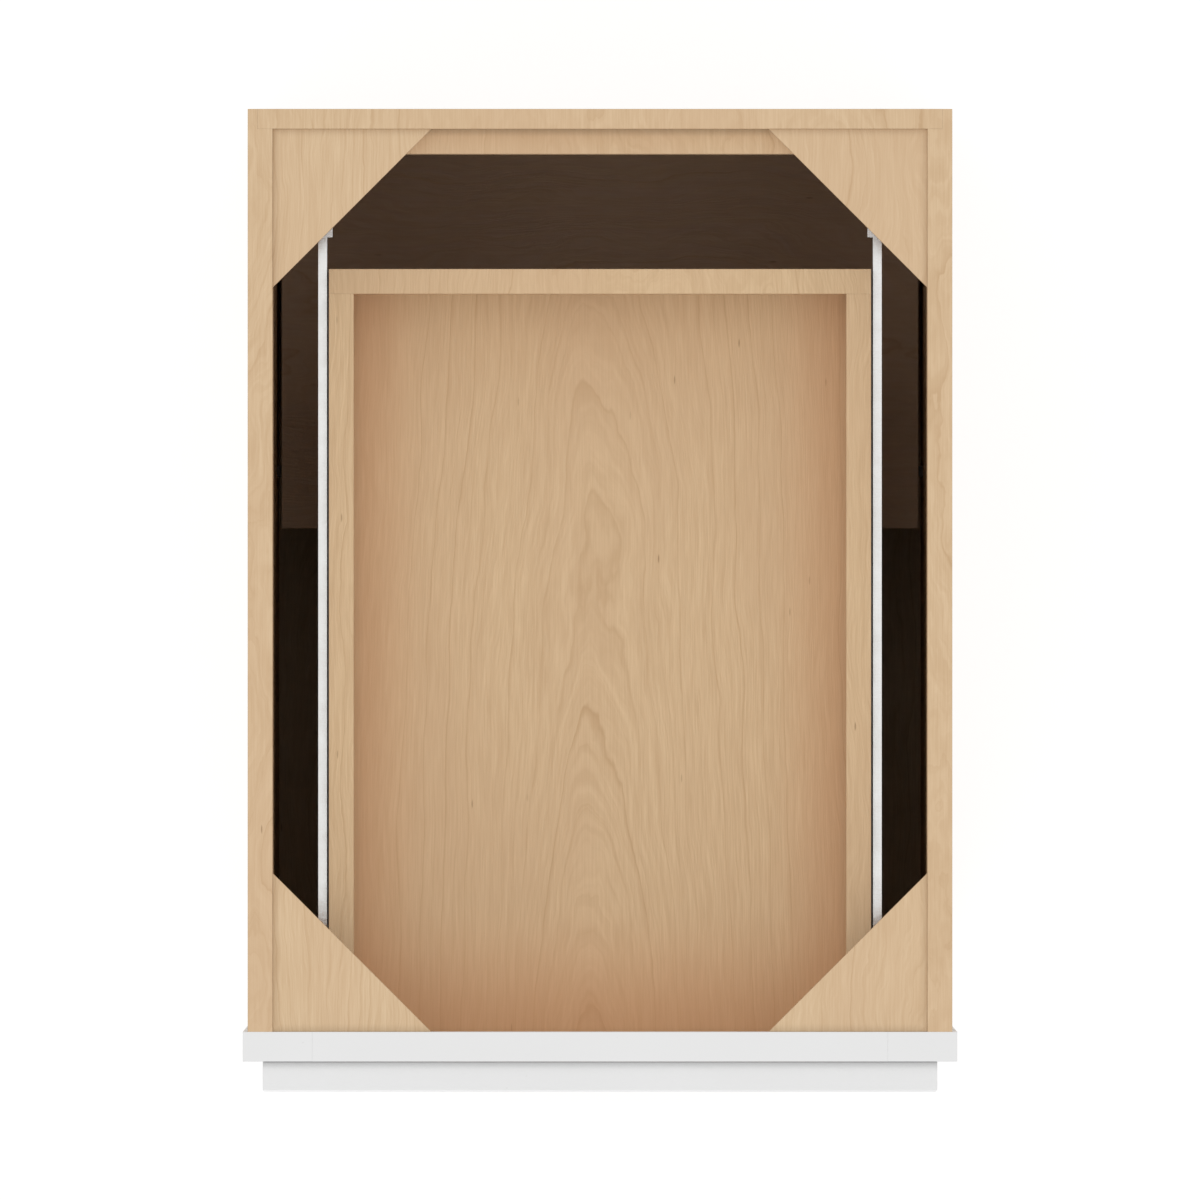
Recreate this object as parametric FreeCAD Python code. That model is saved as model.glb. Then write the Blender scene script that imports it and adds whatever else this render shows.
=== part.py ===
import FreeCAD, Part
import math
import os

# A kitchen base cabinet with one drawer over one door, taken apart into the pieces it is made of.
# Millimetres. X runs to the right seen from the front, Y runs to the back and Z runs up.
# The origin is on the floor, under the middle of the whole cabinet.

# Overall box
cabinet_height = 876.3
frame_width = 457.2
box_depth = 590.55
frame_overhang = 3.175

# Carcass boards
side_thickness = 15.875
deck_thickness = 15.875
back_thickness = 12.7
dado_depth = 6.35
rabbet_depth = 9.525
toe_height = 114.3
toe_setback = 76.2
toe_board_thickness = 15.875
hanging_rail_height = 76.2
hanging_rail_thickness = 15.875
corner_block_leg = 101.6
corner_block_thickness = 19.05
corner_block_drop = 2.5

# Face frame
frame_thickness = 19.05
stile_width = 44.45
rail_height = 38.1
drawer_opening_height = 139.7
frame_tenon_length = 19.05
frame_tenon_thickness = 6.35
frame_tenon_shoulder = 6.35

# Half-depth shelf and its pins
shelf_depth = 254.0
shelf_thickness = 15.875
shelf_side_gap = 3.175
shelf_back_gap = 1.0
shelf_pin_height = 404.9
pin_diameter = 5.0
pin_shaft_length = 9.0
pin_hole_depth = 10.0
pin_hole_pitch = 32.0
pin_holes_each_way = 1
pin_setback = 37.0
pin_clearance = 0.1
pin_tongue_length = 10.0
pin_tongue_width = 7.0
pin_tongue_thickness = 3.0

# Drawer box
drawer_rear_space = 89.3
drawer_box_height = 101.6
drawer_box_rise = 6.4
drawer_wall = 15.875
drawer_bottom_thickness = 6.35
drawer_bottom_rise = 12.7
drawer_groove_depth = 6.35
slide_space = 10.32
dovetail_count = 4
dovetail_pin_width = 6.35
dovetail_angle = 9.0

# Drawer front and door
front_thickness = 19.05
front_reveal = 12.7
drawer_front_height = 177.8
drawer_front_gap = 0.4
door_gap = 1.2
front_edge_bevel = 1.2
hinge_edge_round = 3.5
shaker_width = 57.15
panel_recess = 7.0
router_radius = 3.2
panel_thickness = 6.35
panel_groove_depth = 9.525
panel_float = 1.5
bumper_diameter = 9.5
bumper_thickness = 1.0
bumper_inset = 12.7

# Drawer slides: sheet-metal channels on the cabinet and runners on the drawer, with four rollers
channel_sheet = 1.0
channel_clearance = 1.6
channel_width = 5.7
channel_drop = 2.9
channel_top_lip = 2.5
channel_bottom_lip = 2.0
channel_jog_length = 6.0
channel_tab_margin = 2.0
runner_sheet = 1.2
runner_leg_height = 30.1
runner_foot = 12.0
runner_end_margin = 1.0
roller_diameter = 14.0
roller_clearance = 0.3
roller_recess_diameter = 7.4
roller_recess_depth = 1.0
front_roller_setback = 9.0
rear_roller_setback = 10.0
rivet_diameter = 4.0
rivet_head_diameter = 6.4
rivet_head_thickness = 0.7
rivet_head_gap = 0.15
running_clearance = 0.06

# Rear slide brackets
bracket_length = 68.5
bracket_wall = 2.5
bracket_near_wall = 3.5
bracket_cap = 2.0
bracket_flange = 4.0
bracket_ear = 16.0
bracket_rib = 3.0

# Concealed hinges
hinge_setback = 76.2
cup_diameter = 35.0
cup_tab = 2.5
cup_reach = 5.75
cup_floor_gap = 0.8
cup_wall = 0.8
cup_fit = 0.1
cup_wing_thickness = 0.8
cup_wing_width = 24.0
cup_wing_offset = 3.75
cup_wing_height = 57.0
cup_wing_corner = 5.0
cup_screw_offset = 9.5
cup_screw_spacing = 45.0
pivot_from_edge = 6.45
pivot_depth = 9.3
hinge_pin_diameter = 2.4
hinge_pin_length = 16.0
knuckle_diameter = 4.2
knuckle_length = 9.0
lug_gap = 0.4
lug_thickness = 3.0
arm_sheet = 1.2
arm_tail = 16.0
arm_bend_round = 1.1
wrap_sheet = 1.5
wrap_height = 44.0
wrap_return = 12.0

# Screws, rivets and pins, drawn with few sides
fastener_sides = 8
small_round_sides = 16
screw_clearance = 0.1
screw_diameter = 3.5
screw_head_diameter = 7.0
screw_head_height = 1.8
frame_screw_length = 16.0
panel_screw_length = 14.0
runner_screw_length = 13.0
cup_screw_length = 14.0
front_screw_length = 25.0
runner_screw_height = 24.0
runner_screw_ends = 60.0
front_screw_spread = 110.0
front_screw_low = 35.0
front_screw_high = 82.0
arm_screw_spacing = 30.0

# Places along the depth, from the back of the cabinet to the face of the door
total_depth = box_depth + frame_thickness + door_gap + front_thickness
back_y = total_depth / 2
back_inner_y = back_y - back_thickness
box_front_y = back_y - box_depth
frame_front_y = box_front_y - frame_thickness
frame_middle_y = box_front_y - frame_thickness / 2
toe_face_y = frame_front_y + toe_setback
door_back_y = frame_front_y - door_gap
drawer_face_y = frame_front_y - drawer_front_gap
drawer_back_y = back_inner_y - drawer_rear_space

# Places across the width
frame_half = frame_width / 2
side_outer_x = frame_half - frame_overhang
side_inner_x = side_outer_x - side_thickness
opening_half = frame_half - stile_width
drawer_half = opening_half - slide_space
door_overlay = cup_tab + cup_diameter - cup_reach
front_half = opening_half + door_overlay

# Places up the height
deck_top = toe_height + rail_height
deck_bottom = deck_top - deck_thickness
drawer_opening_top = cabinet_height - rail_height
drawer_opening_bottom = drawer_opening_top - drawer_opening_height
drawer_bottom_z = drawer_opening_bottom + drawer_box_rise
drawer_top_z = drawer_bottom_z + drawer_box_height
drawer_front_top = cabinet_height - front_reveal
drawer_front_bottom = drawer_front_top - drawer_front_height
door_top = drawer_front_bottom - front_reveal
door_bottom = toe_height + front_reveal
block_top = cabinet_height - corner_block_drop
block_bottom = block_top - corner_block_thickness

nodes = {}


def keep(name, *solids):
    nodes[name] = solids[0] if len(solids) == 1 else Part.makeCompound(list(solids))


def keep_pair(name, right):
    keep(name + "_right", right)
    keep(name + "_left", mirrored(right))


def mirrored(shape):
    return shape.mirror(FreeCAD.Vector(0, 0, 0), FreeCAD.Vector(1, 0, 0))


def box(x0, x1, y0, y1, z0, z1):
    return Part.makeBox(x1 - x0, y1 - y0, z1 - z0, FreeCAD.Vector(x0, y0, z0))


def prism(corners, travel):
    """Extrude a polygon of 3-D corners along a vector."""
    points = [FreeCAD.Vector(*corner) for corner in corners]
    return Part.Face(Part.makePolygon(points + points[:1])).extrude(FreeCAD.Vector(*travel))


def rod(start, direction, length, radius):
    return Part.makeCylinder(radius, length, FreeCAD.Vector(*start), FreeCAD.Vector(*direction))


def facet_cone(seat, direction, length, near_radius, far_radius, sides=fastener_sides):
    """Many-sided taper from the seat point along a direction, for small fasteners and their holes."""
    turn = FreeCAD.Rotation(FreeCAD.Vector(0, 0, 1), FreeCAD.Vector(*direction))
    rings = []
    for radius, height in ((near_radius, 0), (far_radius, length)):
        corners = []
        for side in range(sides):
            angle = 2 * math.pi * side / sides
            corner = FreeCAD.Vector(radius * math.cos(angle), radius * math.sin(angle), height)
            corners.append(turn.multVec(corner) + FreeCAD.Vector(*seat))
        rings.append(Part.makePolygon(corners + corners[:1]))
    return Part.makeLoft(rings, True, True)


def facet_rod(seat, direction, length, radius, sides=fastener_sides):
    return facet_cone(seat, direction, length, radius, radius, sides)


def pan_screw(seat, direction, length):
    """Screw with a low domed head that sits on the seat point."""
    outward = [-step for step in direction]
    head = facet_cone(seat, outward, screw_head_height, screw_head_diameter / 2, screw_head_diameter / 3)
    return head.fuse(facet_rod(seat, direction, length, screw_diameter / 2))


def flat_screw(seat, direction, length):
    """Screw with a countersunk head whose top is level with the seat point."""
    head = facet_cone(seat, direction, screw_head_height, screw_head_diameter / 2, screw_diameter / 2)
    return head.fuse(facet_rod(seat, direction, length, screw_diameter / 2))


def screw_hole(seat, direction, length):
    return facet_rod(seat, direction, length + screw_clearance, screw_diameter / 2 + screw_clearance)


def countersink(seat, direction, length):
    sink = facet_cone(seat, direction, screw_head_height, screw_head_diameter / 2 + screw_clearance,
                      screw_diameter / 2 + screw_clearance)
    return sink.fuse(screw_hole(seat, direction, length))


def edges_at(shape, **places):
    """Edges whose ends all have the given coordinates, such as X=0 or X=0, Y=10."""
    chosen = []
    for edge in shape.Edges:
        offsets = [abs(getattr(vertex, axis) - place)
                   for vertex in edge.Vertexes for axis, place in places.items()]
        if max(offsets) < 1e-6:
            chosen.append(edge)
    return chosen


def edges_along_y(shape):
    return [edge for edge in shape.Edges if abs(edge.tangentAt(edge.FirstParameter).y) > 0.99]


# Slide positions that the cabinet and the drawer share. Offsets run outward from the drawer's side.
channel_near = channel_clearance
channel_far = channel_near + channel_width
channel_bottom = drawer_bottom_z - channel_drop
roller_axis_z = channel_bottom + channel_sheet + roller_clearance + roller_diameter / 2
running_flange_z = roller_axis_z + roller_diameter / 2 + roller_clearance
channel_lip_z = running_flange_z + runner_sheet + roller_clearance
channel_top = channel_lip_z + channel_top_lip + channel_sheet
channel_front_y = box_front_y + channel_jog_length
channel_back_y = back_inner_y - bracket_flange
roller_near = channel_near + channel_sheet + roller_clearance
roller_far = channel_far - channel_sheet - roller_clearance
roller_width = roller_far - roller_near
front_roller_y = channel_front_y + front_roller_setback
rear_roller_y = drawer_back_y - rear_roller_setback

# Screws that go into the carcass boards: (seat point, direction, length)
tab_screw = ((opening_half - channel_sheet, frame_middle_y, (channel_bottom + channel_top) / 2), (1, 0, 0),
             frame_screw_length)
bracket_screw_x = drawer_half + channel_far + bracket_wall + bracket_ear / 2
bracket_screws = [((bracket_screw_x, back_inner_y - bracket_flange, z), (0, 1, 0), panel_screw_length)
                  for z in (channel_bottom, channel_top)]
hinge_heights = {"lower": door_bottom + hinge_setback, "upper": door_top - hinge_setback}
arm_screws = [((-opening_half + wrap_sheet, frame_middle_y, height + step * arm_screw_spacing / 2), (-1, 0, 0),
               frame_screw_length)
              for height in hinge_heights.values() for step in (-1, 1)]


# Sides: notched at the toe, with a dado for the deck, a rabbet for the back and two columns of pin holes
shelf_back_y = back_inner_y - shelf_back_gap
shelf_front_y = shelf_back_y - shelf_depth
pin_rows_y = (shelf_front_y + pin_setback, shelf_back_y - pin_setback)
side_outline = [(side_inner_x, box_front_y, toe_height), (side_inner_x, toe_face_y, toe_height),
                (side_inner_x, toe_face_y, 0), (side_inner_x, back_y, 0),
                (side_inner_x, back_y, cabinet_height), (side_inner_x, box_front_y, cabinet_height)]
side_panel = prism(side_outline, (side_thickness, 0, 0))
dado = box(side_inner_x, side_inner_x + dado_depth, box_front_y, back_inner_y, deck_bottom, deck_top)
rabbet = box(side_inner_x, side_inner_x + rabbet_depth, back_inner_y, back_y, 0, cabinet_height)
pin_holes = [facet_rod((side_inner_x, y, shelf_pin_height + step * pin_hole_pitch), (1, 0, 0), pin_hole_depth,
                       pin_diameter / 2 + pin_clearance, small_round_sides)
             for y in pin_rows_y for step in range(-pin_holes_each_way, pin_holes_each_way + 1)]
keep_pair("side_panel", side_panel.cut([dado, rabbet] + pin_holes))

# Boards between the sides
back_half = side_inner_x + rabbet_depth
back_holes = [screw_hole(*screw) for screw in bracket_screws]
back_holes += [mirrored(hole) for hole in back_holes]
keep("back_panel", box(-back_half, back_half, back_inner_y, back_y, 0, cabinet_height).cut(back_holes))
deck_half = side_inner_x + dado_depth
keep("deck_panel", box(-deck_half, deck_half, box_front_y, back_inner_y, deck_bottom, deck_top))
keep("toe_kick_board", box(-side_inner_x, side_inner_x, toe_face_y, toe_face_y + toe_board_thickness,
                           0, deck_bottom))
keep("hanging_rail", box(-side_inner_x, side_inner_x, back_inner_y - hanging_rail_thickness, back_inner_y,
                         block_bottom - hanging_rail_height, block_bottom))


def corner_block(corner_y, inward):
    """Triangular block in a right-hand corner; inward is the way along Y into the box."""
    outline = [(side_inner_x, corner_y, block_bottom),
               (side_inner_x - corner_block_leg, corner_y, block_bottom),
               (side_inner_x, corner_y + inward * corner_block_leg, block_bottom)]
    return prism(outline, (0, 0, corner_block_thickness))


keep_pair("corner_block_front", corner_block(box_front_y, 1))
keep_pair("corner_block_rear", corner_block(back_inner_y, -1))


# Face frame: rails with tenons between two mortised stiles
tenon_y0 = frame_middle_y - frame_tenon_thickness / 2
tenon_y1 = frame_middle_y + frame_tenon_thickness / 2
rail_bottoms = {"bottom": toe_height, "middle": drawer_opening_bottom - rail_height, "top": drawer_opening_top}
frame_stile = box(opening_half, frame_half, frame_front_y, box_front_y, toe_height, cabinet_height)
for place, rail_z in rail_bottoms.items():
    tenon_reach = opening_half + frame_tenon_length
    tenon = box(-tenon_reach, tenon_reach, tenon_y0, tenon_y1, rail_z + frame_tenon_shoulder,
                rail_z + rail_height - frame_tenon_shoulder)
    rail = box(-opening_half, opening_half, frame_front_y, box_front_y, rail_z, rail_z + rail_height)
    keep("frame_" + place + "_rail", rail.fuse(tenon).removeSplitter())
    frame_stile = frame_stile.cut(tenon)
frame_stile = frame_stile.cut(screw_hole(*tab_screw))
keep("frame_stile_right", frame_stile)
keep("frame_stile_left", mirrored(frame_stile).cut([screw_hole(*screw) for screw in arm_screws]))


# Half-depth shelf on four pins, each a shaft in a hole and a flat tongue under the shelf
shelf_half = side_inner_x - shelf_side_gap
shelf_z = shelf_pin_height + pin_tongue_thickness / 2
keep("half_shelf", box(-shelf_half, shelf_half, shelf_front_y, shelf_back_y,
                       shelf_z, shelf_z + shelf_thickness))


def shelf_pin(y):
    shaft = facet_rod((side_inner_x, y, shelf_pin_height), (1, 0, 0), pin_shaft_length, pin_diameter / 2)
    tip_x = side_inner_x - pin_tongue_length
    tongue_sides = (y - pin_tongue_width / 2, y + pin_tongue_width / 2)
    tongue = box(tip_x, side_inner_x, *tongue_sides, shelf_z - pin_tongue_thickness, shelf_z)
    tip_corners = [edge for side_y in tongue_sides for edge in edges_at(tongue, X=tip_x, Y=side_y)]
    tongue = tongue.makeChamfer(pin_tongue_width / 4, tip_corners)
    return shaft.fuse(tongue)


pins = [shelf_pin(y) for y in pin_rows_y]
keep("shelf_pins", *pins, *[mirrored(pin) for pin in pins])


# Slide channels: C-shaped steel sections with lips, open to the drawer, jogged out to the stile in front
def along_y(outline, y0, y1):
    """Extrude a section of (outward offset, height) points from y0 to y1 on the right-hand side."""
    return prism([(drawer_half + offset, y0, z) for offset, z in outline], (0, y1 - y0, 0))


channel_outline = [
    (channel_near, channel_bottom), (channel_far, channel_bottom),
    (channel_far, channel_top), (channel_near, channel_top),
    (channel_near, channel_lip_z), (channel_near + channel_sheet, channel_lip_z),
    (channel_near + channel_sheet, channel_top - channel_sheet),
    (channel_far - channel_sheet, channel_top - channel_sheet),
    (channel_far - channel_sheet, channel_bottom + channel_sheet),
    (channel_near + channel_sheet, channel_bottom + channel_sheet),
    (channel_near + channel_sheet, channel_bottom + channel_sheet + channel_bottom_lip),
    (channel_near, channel_bottom + channel_sheet + channel_bottom_lip)]
channel = along_y(channel_outline, channel_front_y, channel_back_y)
web_x = drawer_half + channel_far
tab_end_y = frame_front_y + channel_tab_margin
tab_plan = [(web_x, channel_front_y), (opening_half, box_front_y), (opening_half, tab_end_y),
            (opening_half - channel_sheet, tab_end_y), (opening_half - channel_sheet, box_front_y),
            (web_x - channel_sheet, channel_front_y)]
tab = prism([(x, y, channel_bottom) for x, y in tab_plan], (0, 0, channel_top - channel_bottom))
front_rivet_hole = facet_rod((web_x - channel_sheet, front_roller_y, roller_axis_z), (1, 0, 0), channel_sheet,
                             rivet_diameter / 2 + running_clearance)
channel = channel.fuse(tab).removeSplitter().cut([front_rivet_hole, screw_hole(*tab_screw)])
keep_pair("slide_channel", channel)

# Rear brackets: moulded sockets on the back panel that hold the ends of the channels
bracket_front_y = back_inner_y - bracket_length
socket_outline = [(channel_near - bracket_near_wall, channel_bottom - bracket_cap),
                  (channel_far + bracket_wall, channel_bottom - bracket_cap),
                  (channel_far + bracket_wall, channel_top + bracket_cap),
                  (channel_near - bracket_near_wall, channel_top + bracket_cap)]
cavity_outline = [(channel_near, channel_bottom), (channel_far, channel_bottom),
                  (channel_far, channel_top), (channel_near, channel_top)]
socket = along_y(socket_outline, bracket_front_y, back_inner_y)
socket = socket.cut(along_y(cavity_outline, bracket_front_y, channel_back_y))
ear_inner_x = drawer_half + channel_far + bracket_wall
ear_outer_x = ear_inner_x + bracket_ear
ear_margin = bracket_ear / 2
ear = box(ear_inner_x, ear_outer_x, channel_back_y, back_inner_y, channel_bottom - ear_margin,
          channel_top + ear_margin)
ear_corners = [edge for z in (channel_bottom - ear_margin, channel_top + ear_margin)
               for edge in edges_at(ear, X=ear_outer_x, Z=z)]
ear = ear.makeFillet(bracket_ear / 4, ear_corners)
rib_z = (channel_bottom + channel_top - bracket_rib) / 2
rib = prism([(ear_inner_x, channel_back_y, rib_z), (ear_outer_x, channel_back_y, rib_z),
             (ear_inner_x, channel_back_y - bracket_ear, rib_z)], (0, 0, bracket_rib))
bracket = socket.fuse([ear, rib]).removeSplitter().cut([screw_hole(*screw) for screw in bracket_screws])
keep_pair("slide_rear_bracket", bracket)
slide_screws = [pan_screw(*tab_screw)] + [pan_screw(*screw) for screw in bracket_screws]
keep("slide_screws", *slide_screws, *[mirrored(screw) for screw in slide_screws])


# Slide rollers: nylon wheels recessed for the rivet head that holds each one
def roller(y, recess_side):
    """Roller on the right; recess_side is -1 for a head toward the drawer and 1 for one toward the web."""
    near_x = drawer_half + roller_near
    wheel = rod((near_x, y, roller_axis_z), (1, 0, 0), roller_width, roller_diameter / 2)
    bore = rod((near_x, y, roller_axis_z), (1, 0, 0), roller_width, rivet_diameter / 2 + running_clearance)
    face_x = near_x if recess_side < 0 else near_x + roller_width
    recess = rod((face_x, y, roller_axis_z), (-recess_side, 0, 0), roller_recess_depth,
                 roller_recess_diameter / 2)
    return wheel.cut([bore, recess])


def rivet_head(y, recess_side):
    face_x = drawer_half + (roller_near if recess_side < 0 else roller_far)
    seat_x = face_x - recess_side * (roller_recess_depth - rivet_head_gap)
    return facet_rod((seat_x, y, roller_axis_z), (recess_side, 0, 0), rivet_head_thickness,
                     rivet_head_diameter / 2)


keep_pair("front_roller", roller(front_roller_y, -1))
keep_pair("rear_roller", roller(rear_roller_y, 1))

front_shank_x = drawer_half + roller_near + roller_recess_depth - rivet_head_gap
front_shank = facet_rod((front_shank_x, front_roller_y, roller_axis_z), (1, 0, 0), web_x - front_shank_x,
                        rivet_diameter / 2)
front_rivet = front_shank.fuse(rivet_head(front_roller_y, -1))
keep("front_roller_rivets", front_rivet, mirrored(front_rivet))

runner_inner_x = drawer_half - runner_sheet
rear_shank_length = runner_sheet + roller_far - roller_recess_depth + rivet_head_gap
rear_shank = facet_rod((runner_inner_x, rear_roller_y, roller_axis_z), (1, 0, 0), rear_shank_length,
                       rivet_diameter / 2)
rear_rivet = rear_shank.fuse(rivet_head(rear_roller_y, 1))
keep("rear_roller_rivets", rear_rivet, mirrored(rear_rivet))

# Drawer runners: one bent section with a leg let into the drawer side, a foot under it and a running flange
runner_leg_top = drawer_bottom_z + runner_leg_height
runner_outline = [
    (-runner_foot, drawer_bottom_z - runner_sheet), (0, drawer_bottom_z - runner_sheet),
    (0, running_flange_z), (roller_far, running_flange_z),
    (roller_far, running_flange_z + runner_sheet), (0, running_flange_z + runner_sheet),
    (0, runner_leg_top), (-runner_sheet, runner_leg_top),
    (-runner_sheet, drawer_bottom_z), (-runner_foot, drawer_bottom_z)]
runner_front_y = drawer_face_y + runner_end_margin
runner = along_y(runner_outline, runner_front_y, drawer_back_y)
runner_rebate = box(runner_inner_x, drawer_half, drawer_face_y, drawer_back_y, drawer_bottom_z, runner_leg_top)
runner_screw_z = drawer_bottom_z + runner_screw_height
runner_screws = [((drawer_half, y, runner_screw_z), (-1, 0, 0), runner_screw_length)
                 for y in (drawer_face_y + runner_screw_ends, (drawer_face_y + drawer_back_y) / 2,
                           drawer_back_y - runner_screw_ends)]
runner_holes = [countersink(*screw) for screw in runner_screws]
rear_rivet_hole = facet_rod((runner_inner_x, rear_roller_y, roller_axis_z), (1, 0, 0), runner_sheet,
                            rivet_diameter / 2 + running_clearance)
keep_pair("drawer_runner", runner.cut(runner_holes + [rear_rivet_hole]))
runner_fixings = [flat_screw(*screw) for screw in runner_screws]
keep("runner_screws", *runner_fixings, *[mirrored(screw) for screw in runner_fixings])


# Drawer box: sides with through dovetails at both ends, cut into the front and back boards
def dovetailed_side():
    """Right-hand side board: a plain middle with a row of flared tails at each end."""
    inner_x = drawer_half - drawer_wall
    middle_y0 = drawer_face_y + drawer_wall
    middle_y1 = drawer_back_y - drawer_wall
    side = box(inner_x, drawer_half, middle_y0, middle_y1, drawer_bottom_z, drawer_top_z)
    pitch = drawer_box_height / dovetail_count
    wide = (pitch - dovetail_pin_width) / 2
    narrow = wide - drawer_wall * math.tan(math.radians(dovetail_angle))
    tails = []
    for row in range(dovetail_count):
        middle_z = drawer_bottom_z + (row + 0.5) * pitch
        for root_y, end_y in ((middle_y0, drawer_face_y), (middle_y1, drawer_back_y)):
            outline = [(inner_x, root_y, middle_z - narrow), (inner_x, end_y, middle_z - wide),
                       (inner_x, end_y, middle_z + wide), (inner_x, root_y, middle_z + narrow)]
            tails.append(prism(outline, (drawer_wall, 0, 0)))
    return side.fuse(tails).removeSplitter()


drawer_inner = drawer_half - drawer_wall
bottom_z = drawer_bottom_z + drawer_bottom_rise
drawer_bottom = box(-drawer_inner - drawer_groove_depth, drawer_inner + drawer_groove_depth,
                    drawer_face_y + drawer_wall - drawer_groove_depth,
                    drawer_back_y - drawer_wall + drawer_groove_depth,
                    bottom_z, bottom_z + drawer_bottom_thickness)
right_tails = dovetailed_side()
both_tails = [right_tails, mirrored(right_tails)]
front_board = box(-drawer_half, drawer_half, drawer_face_y, drawer_face_y + drawer_wall,
                  drawer_bottom_z, drawer_top_z)
back_board = box(-drawer_half, drawer_half, drawer_back_y - drawer_wall, drawer_back_y,
                 drawer_bottom_z, drawer_top_z)
front_screws = [((spread, drawer_face_y + drawer_wall, drawer_bottom_z + rise), (0, -1, 0), front_screw_length)
                for spread in (-front_screw_spread, front_screw_spread)
                for rise in (front_screw_low, front_screw_high)]
front_screw_holes = [screw_hole(*screw) for screw in front_screws]
keep_pair("drawer_side", right_tails.cut([drawer_bottom, runner_rebate] + runner_holes))
both_rebates = [runner_rebate, mirrored(runner_rebate)]
keep("drawer_box_front", front_board.cut(both_tails + both_rebates + [drawer_bottom] + front_screw_holes))
keep("drawer_back", back_board.cut(both_tails + both_rebates + [drawer_bottom]))
keep("drawer_bottom", drawer_bottom)
keep("drawer_front_screws", *[pan_screw(*screw) for screw in front_screws])


# Drawer front: one board with eased edges and a panel routed into its face
def eased_board(bottom, top, back):
    """Board of the fronts' width and thickness with its four front edges eased."""
    board = box(-front_half, front_half, back - front_thickness, back, bottom, top)
    return board.makeChamfer(front_edge_bevel, edges_at(board, Y=back - front_thickness))


routed = box(-front_half + shaker_width, front_half - shaker_width, drawer_face_y - front_thickness,
             drawer_face_y - front_thickness + panel_recess,
             drawer_front_bottom + shaker_width, drawer_front_top - shaker_width)
routed = routed.makeFillet(router_radius, edges_along_y(routed))
drawer_front = eased_board(drawer_front_bottom, drawer_front_top, drawer_face_y)
keep("drawer_front", drawer_front.cut([routed] + front_screw_holes))


# Hinges: the cup sits in the door, the arm wraps round the edge of the left stile
pivot_x = -front_half + pivot_from_edge
pivot_y = door_back_y - pivot_depth
cup_x = -front_half + cup_tab + cup_diameter / 2
cup_depth = pivot_depth + knuckle_diameter / 2 + cup_floor_gap + cup_wall
cup_floor_y = door_back_y - cup_depth + cup_wall
wing_face_y = door_back_y + cup_wing_thickness
cup_screws = [((cup_x + cup_screw_offset, wing_face_y, height + step * cup_screw_spacing / 2), (0, -1, 0),
               cup_screw_length)
              for height in hinge_heights.values() for step in (-1, 1)]


def hinge_cup(height):
    """Pressed cup with two screw wings and two lugs that carry the pin."""
    shell = rod((cup_x, door_back_y, height), (0, -1, 0), cup_depth, cup_diameter / 2)
    hollow_radius = cup_diameter / 2 - cup_wall
    wing_x0 = cup_x + cup_wing_offset - cup_wing_width / 2
    wings = box(wing_x0, wing_x0 + cup_wing_width, door_back_y, door_back_y + cup_wing_thickness,
                height - cup_wing_height / 2, height + cup_wing_height / 2)
    wings = wings.makeChamfer(cup_wing_corner, edges_along_y(wings))
    hollow = rod((cup_x, door_back_y + cup_wing_thickness, height), (0, -1, 0),
                 cup_wing_thickness + cup_depth - cup_wall, hollow_radius)
    cup = shell.fuse(wings).cut(hollow)
    lug_radius = knuckle_diameter / 2
    lugs = []
    for side in (-1, 1):
        lug_z = height + side * (knuckle_length / 2 + lug_gap)
        post = box(pivot_x - lug_radius, pivot_x + lug_radius, cup_floor_y, pivot_y + lug_radius,
                   0, lug_thickness)
        post.translate(FreeCAD.Vector(0, 0, lug_z if side > 0 else lug_z - lug_thickness))
        lugs.append(post.common(shell))
    pin_hole = rod((pivot_x, pivot_y, height - hinge_pin_length / 2), (0, 0, 1), hinge_pin_length,
                   hinge_pin_diameter / 2 + running_clearance)
    return cup.fuse(lugs).cut([pin_hole] + [countersink(*screw) for screw in cup_screws])


def hinge_arm(height):
    """Knuckle on the pin, a bent strap out of the cup and a plate that wraps the stile's inner edge."""
    low = height - knuckle_length / 2
    knuckle = rod((pivot_x, pivot_y, low), (0, 0, 1), knuckle_length, knuckle_diameter / 2)
    strap_y0 = pivot_y - knuckle_diameter / 2
    strap_y1 = strap_y0 + arm_sheet
    strap_x1 = -opening_half + wrap_sheet + arm_sheet
    strap_x0 = strap_x1 - arm_sheet
    tail_y = frame_front_y + arm_tail
    strap = prism([(pivot_x, strap_y0, low), (strap_x1, strap_y0, low), (strap_x1, tail_y, low),
                   (strap_x0, tail_y, low), (strap_x0, strap_y1, low), (pivot_x, strap_y1, low)],
                  (0, 0, knuckle_length))
    strap = strap.makeFillet(arm_bend_round, edges_at(strap, X=strap_x1, Y=strap_y0))
    wrap_low = height - wrap_height / 2
    return_y = box_front_y + wrap_sheet
    wrap = prism([(-opening_half, frame_front_y, wrap_low), (strap_x0, frame_front_y, wrap_low),
                  (strap_x0, return_y, wrap_low), (-opening_half - wrap_return, return_y, wrap_low),
                  (-opening_half - wrap_return, box_front_y, wrap_low),
                  (-opening_half, box_front_y, wrap_low)],
                 (0, 0, wrap_height))
    bore = rod((pivot_x, pivot_y, low), (0, 0, 1), knuckle_length, hinge_pin_diameter / 2 + running_clearance)
    return knuckle.fuse([strap, wrap]).cut([bore] + [screw_hole(*screw) for screw in arm_screws])


for place, height in hinge_heights.items():
    keep("hinge_cup_" + place, hinge_cup(height))
    keep("hinge_arm_" + place, hinge_arm(height))
keep("hinge_pins", *[facet_rod((pivot_x, pivot_y, height - hinge_pin_length / 2), (0, 0, 1), hinge_pin_length,
                               hinge_pin_diameter / 2) for height in hinge_heights.values()])
keep("hinge_arm_screws", *[pan_screw(*screw) for screw in arm_screws])
keep("hinge_cup_screws", *[flat_screw(*screw) for screw in cup_screws])


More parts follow.
